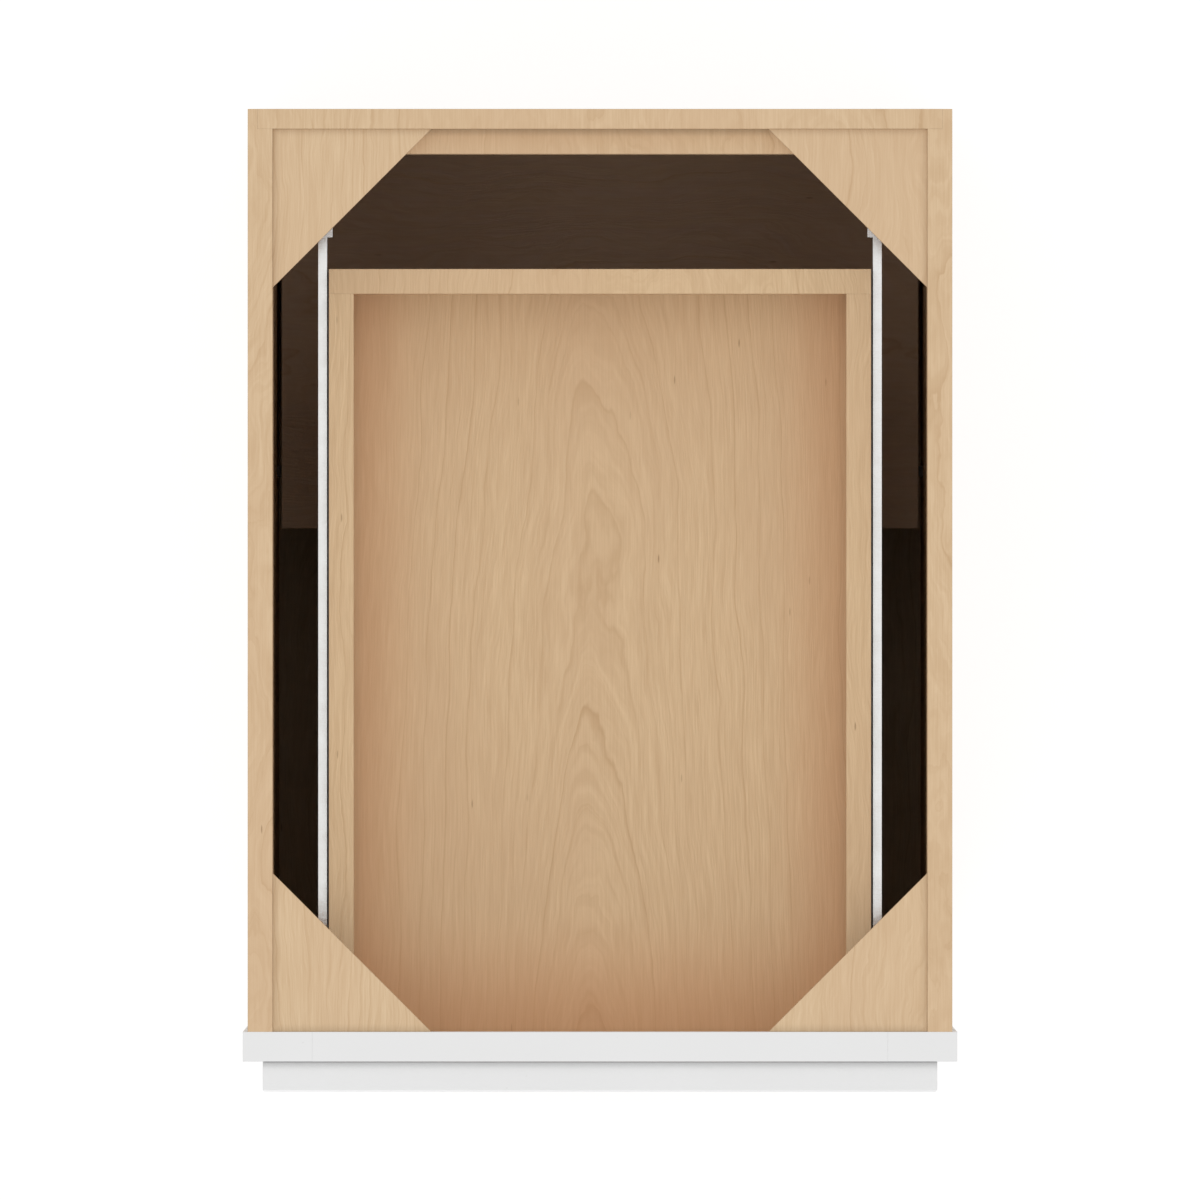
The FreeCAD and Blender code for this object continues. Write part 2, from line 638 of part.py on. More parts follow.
# Door: stiles and rails with a groove all round a floating panel, rails tongued into the stiles
groove_y0 = door_back_y - front_thickness + panel_recess
groove_y1 = groove_y0 + panel_thickness
door_shape = eased_board(door_bottom, door_top, door_back_y)
door_shape = door_shape.makeFillet(hinge_edge_round, edges_at(door_shape, X=-front_half, Y=door_back_y))
stile_inner = front_half - shaker_width
groove_x = stile_inner + panel_groove_depth
rail_low = door_bottom + shaker_width
rail_high = door_top - shaker_width
grooves = box(-groove_x, groove_x, groove_y0, groove_y1, door_bottom, door_top)
cup_holes = [rod((cup_x, door_back_y, height), (0, -1, 0), cup_depth + cup_fit, cup_diameter / 2 + cup_fit)
             for height in hinge_heights.values()]
cup_screw_holes = [countersink(*screw) for screw in cup_screws]


def door_piece(x0, x1, z0, z1):
    return door_shape.common(box(x0, x1, door_back_y - front_thickness, door_back_y, z0, z1))


def door_rail(z0, z1):
    rail = door_piece(-stile_inner, stile_inner, z0, z1)
    tongue = box(-groove_x, groove_x, groove_y0, groove_y1, z0, z1)
    panel_slot = box(-groove_x, groove_x, groove_y0, groove_y1,
                     rail_low - panel_groove_depth, rail_high + panel_groove_depth)
    return rail.fuse(tongue).removeSplitter().cut(panel_slot)


left_stile = door_piece(-front_half, -stile_inner, door_bottom, door_top)
keep("door_stile_left", left_stile.cut([grooves] + cup_holes + cup_screw_holes))
keep("door_stile_right", door_piece(stile_inner, front_half, door_bottom, door_top).cut(grooves))
keep("door_rail_bottom", door_rail(door_bottom, rail_low))
keep("door_rail_top", door_rail(rail_high, door_top))
panel_grip = panel_groove_depth - panel_float
keep("door_panel", box(-stile_inner - panel_grip, stile_inner + panel_grip, groove_y0, groove_y1,
                       rail_low - panel_grip, rail_high + panel_grip))
keep("door_bumpers", *[facet_rod((front_half - bumper_inset, door_back_y, z), (0, 1, 0), bumper_thickness,
                                 bumper_diameter / 2, small_round_sides)
                       for z in (door_bottom + 2 * bumper_inset, door_top - 2 * bumper_inset)])

os.makedirs("parts", exist_ok=True)
for name, shape in nodes.items():
    shape.exportStep("parts/" + name + ".step")
    print(name, len(shape.Solids), "solid", round(shape.Volume / 1000, 2), "cm3", shape.isValid())
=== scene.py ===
import math

import bmesh
import bpy
from mathutils import Matrix, Vector


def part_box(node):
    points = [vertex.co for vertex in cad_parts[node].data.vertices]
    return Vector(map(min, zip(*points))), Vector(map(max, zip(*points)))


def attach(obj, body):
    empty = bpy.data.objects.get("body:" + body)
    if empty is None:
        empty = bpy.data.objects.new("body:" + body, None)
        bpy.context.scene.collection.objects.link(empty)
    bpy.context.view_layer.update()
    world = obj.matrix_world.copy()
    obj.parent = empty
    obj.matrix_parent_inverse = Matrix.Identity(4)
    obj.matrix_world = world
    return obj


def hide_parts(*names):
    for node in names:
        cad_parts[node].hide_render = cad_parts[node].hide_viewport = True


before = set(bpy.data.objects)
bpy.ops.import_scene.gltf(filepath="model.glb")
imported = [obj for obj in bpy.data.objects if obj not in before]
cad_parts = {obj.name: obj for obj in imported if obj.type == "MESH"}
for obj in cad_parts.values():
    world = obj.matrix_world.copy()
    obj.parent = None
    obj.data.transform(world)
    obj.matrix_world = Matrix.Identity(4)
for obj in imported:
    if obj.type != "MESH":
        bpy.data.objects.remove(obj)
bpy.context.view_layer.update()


# Side panels: plywood faced with maple veneer, banded along the top edge and clear coated in the
# factory. The veneer runs up the faces and along the top. The rear and bottom edges are raw and
# show the plies.
def feed(tree, value, socket):
    """Link a socket to another node's socket, or set it to a plain value."""
    if isinstance(value, bpy.types.NodeSocket):
        tree.links.new(value, socket)
    else:
        socket.default_value = value


def calc(tree, operation, *values):
    node = tree.nodes.new("ShaderNodeMath")
    node.operation = operation
    for value, socket in zip(values, node.inputs):
        feed(tree, value, socket)
    return node.outputs[0]


def fade(tree, amount, low, high):
    """Smooth step from 0 at low to 1 at high."""
    node = tree.nodes.new("ShaderNodeMapRange")
    node.interpolation_type = "SMOOTHSTEP"
    for value, socket in zip((amount, low, high), node.inputs):
        feed(tree, value, socket)
    return node.outputs[0]


# A Mix node's two inputs and its output for each kind of value
mix_sockets = {"RGBA": (6, 7, 2), "VECTOR": (4, 5, 1)}


def blend(tree, kind, share, first, second):
    """Mix of two colours or two vectors: all first at a share of 0, and all second at 1."""
    node = tree.nodes.new("ShaderNodeMix")
    node.data_type = kind
    first_input, second_input, result = mix_sockets[kind]
    for value, place in ((share, 0), (first, first_input), (second, second_input)):
        feed(tree, value, node.inputs[place])
    return node.outputs[result]


def tint(tree, share, first, second):
    return blend(tree, "RGBA", share, first, second)


def stretch(tree, place, scale, shift=(0, 0, 0)):
    node = tree.nodes.new("ShaderNodeMapping")
    for value, socket in ((place, "Vector"), (scale, "Scale"), (shift, "Location")):
        feed(tree, value, node.inputs[socket])
    return node.outputs[0]


def mottle(tree, place, count, detail=2.0, shift=(0, 0, 0)):
    """Soft random tone from 0 to 1; count is how many blotches fit in a metre along each axis."""
    node = tree.nodes.new("ShaderNodeTexNoise")
    feed(tree, stretch(tree, place, count, shift), node.inputs["Vector"])
    feed(tree, 1.0, node.inputs["Scale"])
    feed(tree, detail, node.inputs["Detail"])
    return node.outputs[0]


def axes_of(tree, vector):
    node = tree.nodes.new("ShaderNodeSeparateXYZ")
    feed(tree, vector, node.inputs[0])
    return {axis: node.outputs[axis] for axis in "XYZ"}


def gather(tree, spot, order):
    """Vector of three of a spot's values, in the order given."""
    node = tree.nodes.new("ShaderNodeCombineXYZ")
    for axis, socket in zip(order, node.inputs):
        feed(tree, spot[axis], socket)
    return node.outputs[0]


def effect(name, inputs, outputs):
    """Empty node group with named sockets; gives the tree, its inside inputs and outputs."""
    tree = bpy.data.node_groups.new(name, "ShaderNodeTree")
    for way, sockets in (("INPUT", inputs), ("OUTPUT", outputs)):
        for label, kind in sockets.items():
            tree.interface.new_socket(label, in_out=way, socket_type="NodeSocket" + kind)
    inside = tree.nodes.new("NodeGroupInput").outputs
    return tree, inside, tree.nodes.new("NodeGroupOutput").inputs


def use_effect(tree, group, **values):
    node = tree.nodes.new("ShaderNodeGroup")
    node.node_tree = group
    for label, value in values.items():
        feed(tree, value, node.inputs[label])
    return node.outputs


# Growth rings round a slightly tapered heart, so that a flat cut gives arches. Streaks follow the
# rings. A count is how many marks fit in a metre across, along and through the board, and limits
# are where a soft random tone starts and ends to show as a mark.
pale_maple = (0.682, 0.504, 0.321, 1)
warm_maple = (0.594, 0.418, 0.250, 1)
rosy_maple = (0.602, 0.410, 0.252, 1)
late_wood = (0.415, 0.242, 0.112, 1)
fleck_brown = (0.220, 0.120, 0.056, 1)
mean_tone = 0.5
sway_steps = (((9, 3.6, 9), 1.0), ((38, 14, 38), 0.21), ((150, 60, 150), 0.05))
ring_steps = ((1.0, 1.0), (0.37, 0.35))
late_growth = 12.0
ring_end = (1.0, 0.95)
ring_vigour = (0.1, 1.2)
streak_count = (360, 11, 1)
strand_count = (1150, 34, 1)
fibre_count = (1100, 28, 1100)
grain_limits = (0.30, 0.70)
blush_count = (11, 3, 11)
blush_shift = (5, 3, 1)
blush_limits = (0.35, 0.70)
fleck_count = (40, 7, 40)
fleck_edge = (0.026, 0.008)
fleck_choice = (0.55, 0.95)
coat_rough = 0.38
streak_rough = 0.10


def maple_figure_group():
    tree, board, figure = effect(
        "maple_figure",
        {"Board": "Vector", "Heart": "Float", "Taper": "Float", "Rings": "Float", "Sway": "Float",
         "Pale": "Color"},
        {"Color": "Color", "Roughness": "Float", "Height": "Float"})
    spot = axes_of(tree, board["Board"])
    depth = calc(tree, "MULTIPLY_ADD", spot["Y"], board["Taper"], spot["Z"])
    depth = calc(tree, "ADD", depth, board["Heart"])
    radius = calc(tree, "SQRT", calc(tree, "ADD", calc(tree, "POWER", depth, 2.0),
                                     calc(tree, "POWER", spot["X"], 2.0)))
    for count, share in sway_steps:
        sway = calc(tree, "SUBTRACT", mottle(tree, board["Board"], count), mean_tone)
        reach = calc(tree, "MULTIPLY", board["Sway"], share)
        radius = calc(tree, "MULTIPLY_ADD", sway, reach, radius)
    ring_line = 0.0
    for spacing, strength in ring_steps:
        ring = calc(tree, "DIVIDE", radius, calc(tree, "MULTIPLY", board["Rings"], spacing))
        vigour = tree.nodes.new("ShaderNodeTexWhiteNoise")
        vigour.noise_dimensions = "1D"
        feed(tree, calc(tree, "FLOOR", ring), vigour.inputs["W"])
        growth = calc(tree, "FRACT", ring)
        line = calc(tree, "MULTIPLY", calc(tree, "POWER", growth, late_growth),
                    fade(tree, growth, *ring_end))
        line = calc(tree, "MULTIPLY", line, fade(tree, vigour.outputs[0], *ring_vigour))
        ring_line = calc(tree, "MULTIPLY_ADD", line, strength, ring_line)
    grown = gather(tree, {**spot, "R": radius}, "RYZ")
    streak = fade(tree, mottle(tree, grown, streak_count), *grain_limits)
    strand = fade(tree, mottle(tree, grown, strand_count), *grain_limits)
    fibre = fade(tree, mottle(tree, board["Board"], fibre_count), *grain_limits)
    blush = fade(tree, mottle(tree, board["Board"], blush_count, 3.0, blush_shift), *blush_limits)
    cells = tree.nodes.new("ShaderNodeTexVoronoi")
    cells.voronoi_dimensions = "2D"
    feed(tree, stretch(tree, board["Board"], fleck_count), cells.inputs["Vector"])
    feed(tree, 1.0, cells.inputs["Scale"])
    fleck = fade(tree, cells.outputs["Distance"], *fleck_edge)
    fleck = calc(tree, "MULTIPLY", fleck, fade(tree, cells.outputs["Color"], *fleck_choice))
    colour = board["Pale"]
    for mark, share, tone in ((streak, 0.32, warm_maple), (strand, 0.18, late_wood),
                              (fibre, 0.17, late_wood), (blush, 0.40, rosy_maple),
                              (ring_line, 0.80, late_wood), (fleck, 0.6, fleck_brown)):
        colour = tint(tree, calc(tree, "MULTIPLY", mark, share), colour, tone)
    feed(tree, colour, figure["Color"])
    feed(tree, calc(tree, "MULTIPLY_ADD", streak, streak_rough, coat_rough), figure["Roughness"])
    feed(tree, calc(tree, "SUBTRACT", strand, ring_line), figure["Height"])
    return tree


# Raw plywood edge: thin veneers glued crosswise, every other one showing its darker end grain
ply_layer = 0.00227
ply_long = (0.560, 0.390, 0.230, 1)
ply_end = (0.370, 0.225, 0.120, 1)
ply_speck_count = (900, 900, 900)
ply_speck_limits = (0.25, 0.75)
glue_line = (0.215, 0.120, 0.060, 1)
glue_limits = (0.07, 0.02)
glue_share = 0.6


def ply_edge_group():
    tree, edge, plies = effect("ply_edge", {"Place": "Vector", "Depth": "Float"},
                               {"Color": "Color"})
    layer = calc(tree, "DIVIDE", edge["Depth"], ply_layer)
    crosswise = calc(tree, "PINGPONG", calc(tree, "FLOOR", layer), 1.0)
    speckle = fade(tree, mottle(tree, edge["Place"], ply_speck_count), *ply_speck_limits)
    colour = tint(tree, calc(tree, "MULTIPLY", speckle, crosswise), ply_long, ply_end)
    glue = fade(tree, calc(tree, "PINGPONG", layer, 0.5), *glue_limits)
    colour = tint(tree, calc(tree, "MULTIPLY", glue, glue_share), colour, glue_line)
    feed(tree, colour, plies["Color"])
    return tree


# End grain: open pores, darker than the face, in the rows of the growth rings
end_pale = (0.520, 0.345, 0.195, 1)
end_dark = (0.330, 0.195, 0.098, 1)
pore_count = (1500, 1500, 1500)
pore_limits = (0.35, 0.70)
pore_share = 0.5
row_count = (60, 60, 420)
row_limits = (0.35, 0.65)
row_share = 0.4


def end_grain_group():
    tree, butt, pores = effect("end_grain", {"Place": "Vector"}, {"Color": "Color"})
    pore = fade(tree, mottle(tree, butt["Place"], pore_count), *pore_limits)
    row = fade(tree, mottle(tree, butt["Place"], row_count), *row_limits)
    dark = calc(tree, "MULTIPLY_ADD", pore, pore_share, calc(tree, "MULTIPLY", row, row_share))
    feed(tree, tint(tree, dark, end_pale, end_dark), pores["Color"])
    return tree


def new_finish(name):
    material = bpy.data.materials.new(name)
    material.use_nodes = True
    tree = material.node_tree
    coords = tree.nodes.new("ShaderNodeTexCoord").outputs
    return material, tree, tree.nodes["Principled BSDF"].inputs, coords


def relief(tree, shader, height, rise, easing):
    """Surface relief of a given rise in metres, over edges eased by a small radius."""
    eased = tree.nodes.new("ShaderNodeBevel")
    eased.samples = 6
    feed(tree, easing, eased.inputs["Radius"])
    bump = tree.nodes.new("ShaderNodeBump")
    feed(tree, rise, bump.inputs["Distance"])
    feed(tree, height, bump.inputs["Height"])
    feed(tree, eased.outputs[0], bump.inputs["Normal"])
    feed(tree, bump.outputs[0], shader["Normal"])


maple_figure = maple_figure_group()
ply_edge = ply_edge_group()
end_grain = end_grain_group()
face_turn = (0.6, 0.8)
coat_shine = 0.2
grain_rise = 0.00006
board_easing = 0.0006


def maple_board(name, level, upright, centre=(0, 0, 0), heart=0.09, taper=0.03, rings=0.006,
                sway=0.052, pale=pale_maple, end="", ply_axis="", ply_faces=""):
    """Clear-coated maple. Level and upright faces each name the axes across, along and through
    the grain, and end the axis that shows end grain. ply_faces names the raw edges, by axis or b
    for below, of a board that is thin on ply_axis."""
    material, tree, shader, coords = new_finish(name)
    facing = axes_of(tree, coords["Normal"])
    looks = {axis: fade(tree, calc(tree, "ABSOLUTE", facing[axis]), *face_turn) for axis in "XYZ"}
    looks["b"] = fade(tree, facing["Z"], *[-limit for limit in face_turn])
    spot = axes_of(tree, stretch(tree, coords["Object"], (1, 1, 1), [-step for step in centre]))
    place = blend(tree, "VECTOR", looks["Z"], gather(tree, spot, upright),
                  gather(tree, spot, level))
    grain = use_effect(tree, maple_figure, Board=place, Heart=heart, Taper=taper, Rings=rings,
                       Sway=sway, Pale=pale)
    colour = grain["Color"]
    if end:
        butt = use_effect(tree, end_grain, Place=coords["Object"])
        colour = tint(tree, looks[end], colour, butt["Color"])
    for side in ply_faces:
        raw = use_effect(tree, ply_edge, Place=coords["Object"], Depth=spot[ply_axis])
        colour = tint(tree, looks[side], colour, raw["Color"])
    feed(tree, colour, shader["Base Color"])
    feed(tree, grain["Roughness"], shader["Roughness"])
    shader["Specular IOR Level"].default_value = coat_shine
    relief(tree, shader, grain["Height"], grain_rise, board_easing)
    return material


def dress(material, *nodes):
    for node in nodes:
        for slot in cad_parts[node].material_slots:
            slot.material = material


dress(maple_board("side_maple", "XYZ", "YZX", centre=(0.06, 0, 0), taper=0.02, ply_axis="X",
                  ply_faces="Yb"), "side_panel_left", "side_panel_right")


# Back panel and deck: thinner and thicker veneered plywood. The back lies in rabbets in the sides
# and the deck in dados. The back's top edge is banded with strips that carry on the grain of the
# sides' edges.
dress(maple_board("back_maple", "XYZ", "XZY", centre=(0.06, 0, 0), taper=0.02, ply_axis="Y",
                  ply_faces="b"), "back_panel")
dress(maple_board("deck_maple", "XYZ", "XYZ", centre=(-0.05, 0.02, 0.15)), "deck_panel")


# Toe kick board and hanging rail: plain maple strips between the sides, with the grain along them.
# The board closes the front of the toe space, and the rail takes the screws that hold the cabinet
# to a wall. The rail is painted darker in the corner by the back, a painted shade.
def wall_shade_group():
    """Share of a painted shade on a board that lies between walls: most beside them, none past a
    reach.
    """
    tree, inside, outside = effect(
        "wall_shade",
        {"Place": "Vector", "Reach": "Float", "HalfWidth": "Float", "FrontWall": "Float",
         "RearWall": "Float", "BySides": "Float", "ByFront": "Float", "ByRear": "Float"},
        {"Share": "Float"})
    spot = axes_of(tree, inside["Place"])
    from_middle = calc(tree, "ABSOLUTE", spot["X"])
    gaps = {"BySides": calc(tree, "SUBTRACT", inside["HalfWidth"], from_middle),
            "ByFront": calc(tree, "SUBTRACT", spot["Y"], inside["FrontWall"]),
            "ByRear": calc(tree, "SUBTRACT", inside["RearWall"], spot["Y"])}
    share = 0.0
    for wall, gap in gaps.items():
        beside = calc(tree, "MULTIPLY", fade(tree, gap, inside["Reach"], 0.0), inside[wall])
        share = calc(tree, "MAXIMUM", share, beside)
    feed(tree, share, outside["Share"])
    return tree


wall_shade = wall_shade_group()


def shade_by_walls(material, walls, tone, reach, by_sides=0.0, by_front=0.0, by_rear=0.0):
    """Paint shade on a finish beside walls, given as half their width apart, the front and the
    rear.
    """
    tree = material.node_tree
    base = tree.nodes["Principled BSDF"].inputs["Base Color"]
    half_width, front, rear = walls
    shade = use_effect(tree, wall_shade, Place=tree.nodes["Texture Coordinate"].outputs["Object"],
                       Reach=reach, HalfWidth=half_width, FrontWall=front, RearWall=rear,
                       BySides=by_sides, ByFront=by_front, ByRear=by_rear)
    feed(tree, tint(tree, shade["Share"], base.links[0].from_socket, tone), base)


dress(maple_board("toe_maple", "YXZ", "ZXY", centre=(0, 0, 0.06), heart=0.05), "toe_kick_board")
solid_maple = (0.705, 0.528, 0.339, 1)
rail_maple = maple_board("rail_maple", "XYZ", "ZXY", centre=(0.02, 0, 0.8), heart=0.06,
                         pale=solid_maple)
dress(rail_maple, "hanging_rail")
box_walls = (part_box("corner_block_rear_right")[1].x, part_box("corner_block_front_right")[0].y,
             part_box("corner_block_rear_right")[1].y)
# Painted shade: a darker band beside the back on the rail, and beside every wall on the blocks.
painted_corner_shade = (0.172, 0.129, 0.083, 1)
shade_by_walls(rail_maple, box_walls, painted_corner_shade, reach=0.0055, by_rear=0.38)


# Corner blocks: solid maple triangles glued into the four top corners, a little under the rim.
# They square up the box and take the screws that hold the worktop from below. They are painted
# darker along the walls, a painted shade.
blocks = ["corner_block_" + place
          for place in ("front_left", "front_right", "rear_left", "rear_right")]
block_maple = maple_board("block_maple", "XYZ", "XYZ", centre=(0.31, 0.1, 0.8), heart=0.14,
                          taper=0.012, pale=solid_maple)
dress(block_maple, *blocks)
shade_by_walls(block_maple, box_walls, painted_corner_shade, reach=0.006, by_sides=0.15, by_front=0.19,
               by_rear=0.19)


# Half-depth shelf: veneered plywood with a banded front edge, lying loose on four pins.
# The pins are moulded brown nylon: a round shaft in a drilled hole and a flat rounded tongue
# under the shelf.
# The shelf's maple is painted darker than the other boards, a painted shade for its place deep in
# the box.
painted_shade_shelf_maple = (0.540, 0.373, 0.268, 1)
dress(maple_board("shelf_maple", "YXZ", "ZXY", centre=(0, 0.17, 0.4), pale=painted_shade_shelf_maple,
                  ply_axis="Z", ply_faces="X"), "half_shelf")


def turned(outline, steps, closed=False):
    """Part spun about the Z axis from an outline of (radius, height) points."""
    part = bmesh.new()
    corners = [part.verts.new((radius, 0, height)) for radius, height in outline]
    lines = [part.edges.new(pair) for pair in zip(corners, corners[1:])]
    if closed:
        lines.append(part.edges.new((corners[-1], corners[0])))
    bmesh.ops.spin(part, geom=corners + lines, cent=(0, 0, 0), axis=(0, 0, 1), dvec=(0, 0, 0),
                   angle=math.tau, steps=steps, use_merge=True, use_duplicate=False)
    bmesh.ops.remove_doubles(part, verts=part.verts, dist=1e-7)
    return part


def set_in(mesh, part, seat, outward):
    """Add a part made up the Z axis to its set's mesh, at a seat point and looking outward."""
    turn = Vector((0, 0, 1)).rotation_difference(Vector(outward))
    bmesh.ops.transform(part, matrix=Matrix.Translation(seat) @ turn.to_matrix().to_4x4(),
                        verts=part.verts)
    holder = bpy.data.meshes.new("holder")
    part.to_mesh(holder)
    part.free()
    mesh.from_mesh(holder)
    bpy.data.meshes.remove(holder)


def finished_piece(name, mesh, material, body, slot, *nodes, corner=0.6):
    """Close a mesh into an object that rides on a body and stands for the nodes it details.
    Edges that turn by more than the corner angle stay sharp."""
    bmesh.ops.recalc_face_normals(mesh, faces=mesh.faces)
    data = bpy.data.meshes.new(name)
    mesh.to_mesh(data)
    mesh.free()
    data.materials.append(material)
    data.shade_smooth()
    data.set_sharp_from_angle(angle=corner)
    piece = bpy.data.objects.new(name, data)
    bpy.context.scene.collection.objects.link(piece)
    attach(piece, body)
    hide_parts(*nodes)


peel_count = (520, 520, 520)
cloud_count = (14, 14, 14)
speck_count = (310, 310, 310)
speck_limits = (0.80, 0.84)
speck_share = 0.15
speck_tone = (0.5, 0.48, 0.45, 1)
cloud_rough = 0.14


def spray_coat_group():
    """Sprayed film: a faint orange peel, soft clouds of gloss and a few specks of dust."""
    tree, inside, outside = effect("spray_coat", {"Place": "Vector"},
                                   {"Cloud": "Float", "Speck": "Float", "Height": "Float"})
    peel = mottle(tree, inside["Place"], peel_count, 3.0)
    feed(tree, mottle(tree, inside["Place"], cloud_count, 4.0), outside["Cloud"])
    feed(tree, fade(tree, mottle(tree, inside["Place"], speck_count, 1.0), *speck_limits),
         outside["Speck"])
    feed(tree, peel, outside["Height"])
    return tree


spray_coat = spray_coat_group()
painted_shade_grey = (0.10, 0.10, 0.098, 1)
painted_shade_most = 0.45
painted_shade_share = 0.80


def sprayed(name, light, dark, rough, peel, easing, painted_shade_reach=0):
    """Sprayed or moulded finish; painted shade greys its level faces this far out of an inside
    corner.
    """
    material, tree, shader, coords = new_finish(name)
    film = use_effect(tree, spray_coat, Place=coords["Object"])
    colour = tint(tree, film["Cloud"], light, dark)
    if painted_shade_reach:
        # Painted shade: level faces grey where ambient occlusion finds an inside corner close by.
        corner = tree.nodes.new("ShaderNodeAmbientOcclusion")
        corner.samples = 8
        feed(tree, painted_shade_reach, corner.inputs["Distance"])
        closed_in = calc(tree, "SUBTRACT", 1.0, corner.outputs["AO"])
        closed_in = calc(tree, "MINIMUM", closed_in, painted_shade_most)
        level = fade(tree, axes_of(tree, coords["Normal"])["Z"], *face_turn)
        painted_shade = calc(tree, "MULTIPLY", closed_in, calc(tree, "MULTIPLY", level, painted_shade_share))
        colour = tint(tree, painted_shade, colour, painted_shade_grey)
    speck = calc(tree, "MULTIPLY", film["Speck"], speck_share)
    feed(tree, tint(tree, speck, colour, speck_tone), shader["Base Color"])
    feed(tree, calc(tree, "MULTIPLY_ADD", film["Cloud"], cloud_rough, rough), shader["Roughness"])
    relief(tree, shader, film["Height"], peel, easing)
    return material


brown_nylon = sprayed("brown_nylon_moulding", (0.062, 0.040, 0.027, 1), (0.050, 0.031, 0.020, 1),
                      rough=0.48, peel=0.00002, easing=0.0003)
pin_radius = 0.0025
pin_depth = 0.009
pin_height = 0.4049
pin_tip = 0.0008
pin_tip_step = 0.0006
tongue_size = (0.010, 0.007, 0.003)
tongue_round = 0.003
side_face = 0.20955
pin_rows = (0.084225, 0.264225)
pin_shaft = [(0, 0), (pin_radius, 0), (pin_radius, pin_depth - pin_tip),
             (pin_radius - pin_tip_step, pin_depth), (0, pin_depth)]
pins = bmesh.new()
for side in (-1, 1):
    for row in pin_rows:
        set_in(pins, turned(pin_shaft, steps=24), (side * side_face, row, pin_height),
               (side, 0, 0))
        middle = Vector((side * (side_face - tongue_size[0] / 2), row, pin_height))
        tongue = bmesh.ops.create_cube(
            pins, matrix=Matrix.Translation(middle) @ Matrix.Diagonal((*tongue_size, 1)))
        tip_x = side * (side_face - tongue_size[0])
        tip = {line for corner in tongue["verts"] for line in corner.link_edges
               if all(abs(end.co.x - tip_x) < 1e-6 for end in line.verts)
               and line.verts[0].co.y == line.verts[1].co.y}
        bmesh.ops.bevel(pins, geom=list(tip), offset=tongue_round, offset_type="OFFSET",
                        segments=8, profile=0.5, affect="EDGES", material=-1)
finished_piece("shelf_pin_set", pins, brown_nylon, "carcass", "brown_nylon", "shelf_pins")


# Face frame: hardwood stiles and rails with tenons, glued to the front of the box and sprayed
# white. The joints stay just visible as fine lines in the paint, and level edges are painted a
# little grey in the corners, a painted shade.
white_paint = sprayed("white_paint_film", (0.765, 0.765, 0.764, 1), (0.740, 0.740, 0.738, 1),
                      rough=0.30, peel=0.00004, easing=0.0004, painted_shade_reach=0.0053)
dress(white_paint, "frame_stile_left", "frame_stile_right", "frame_top_rail", "frame_middle_rail",
      "frame_bottom_rail")


# Slide channels: bright zinc-plated steel strip rolled to a C, one on each side of the drawer
# opening. A jogged tab is screwed to the stile in front, and a satin die-cast bracket on the back
# holds the rear end. The plating shows faint rolling lines and fine handling marks.
drawn_count = (260, 2600, 2600)
drawn_share = 0.5
handled_count = (70, 70, 70)
handled_share = 0.5
mark_rough = 0.22
drawn_rise = 0.00001


def rolled_metal_group():
    tree, metal, lustre = effect("rolled_metal", {"Place": "Vector"},
                                 {"Tone": "Float", "Height": "Float"})
    drawn = mottle(tree, metal["Place"], drawn_count, 3.0)
    handled = mottle(tree, metal["Place"], handled_count, 4.0)
    feed(tree, calc(tree, "MULTIPLY_ADD", handled, handled_share,
                    calc(tree, "MULTIPLY", drawn, drawn_share)), lustre["Tone"])
    feed(tree, drawn, lustre["Height"])
    return tree


rolled_metal = rolled_metal_group()


def plated(name, light, dark, rough, easing=0.00015):
    material, tree, shader, coords = new_finish(name)
    marks = use_effect(tree, rolled_metal, Place=coords["Object"])
    feed(tree, tint(tree, marks["Tone"], light, dark), shader["Base Color"])
    feed(tree, calc(tree, "MULTIPLY_ADD", marks["Tone"], mark_rough, rough), shader["Roughness"])
    shader["Metallic"].default_value = 1.0
    relief(tree, shader, marks["Height"], drawn_rise, easing)
    return material


bright_zinc = plated("bright_zinc_strip", (0.88, 0.88, 0.86, 1), (0.80, 0.80, 0.78, 1), rough=0.04)
dress(bright_zinc, "slide_channel_left", "slide_channel_right")
cast_zinc = plated("cast_zinc_satin", (0.92, 0.92, 0.91, 1), (0.82, 0.82, 0.81, 1), rough=0.12,
                   easing=0.0004)
dress(cast_zinc, "slide_rear_bracket_left", "slide_rear_bracket_right")


# Slide screws: zinc-plated pan heads with a cross recess, two in each rear bracket and one in each
# front tab. The other screws of the cabinet are made in the same way, with pan or countersunk
# heads.
zinc = plated("zinc_plate", (0.66, 0.67, 0.68, 1), (0.46, 0.47, 0.49, 1), rough=0.24)
shank_radius = 0.0017
thread_root = 0.0012
thread_pitch = 0.0016
tip_length = 0.003
head_radius = 0.0035
head_height = 0.0018
pan_head = [(shank_radius, 0), (head_radius, 0), (head_radius, 0.0004), (0.0033, 0.0010),
            (0.0029, 0.0015), (0.0024, head_height)]
flat_head = [(shank_radius, -head_height), (0.0034, -0.0001), (0.0034, 0)]
recess_half = 0.00055
recess_reach = 0.0019
recess_depth = 0.0013
recess_taper = 0.6
recess_arm = ((recess_half, recess_half), (recess_half, recess_reach),
              (-recess_half, recess_reach))


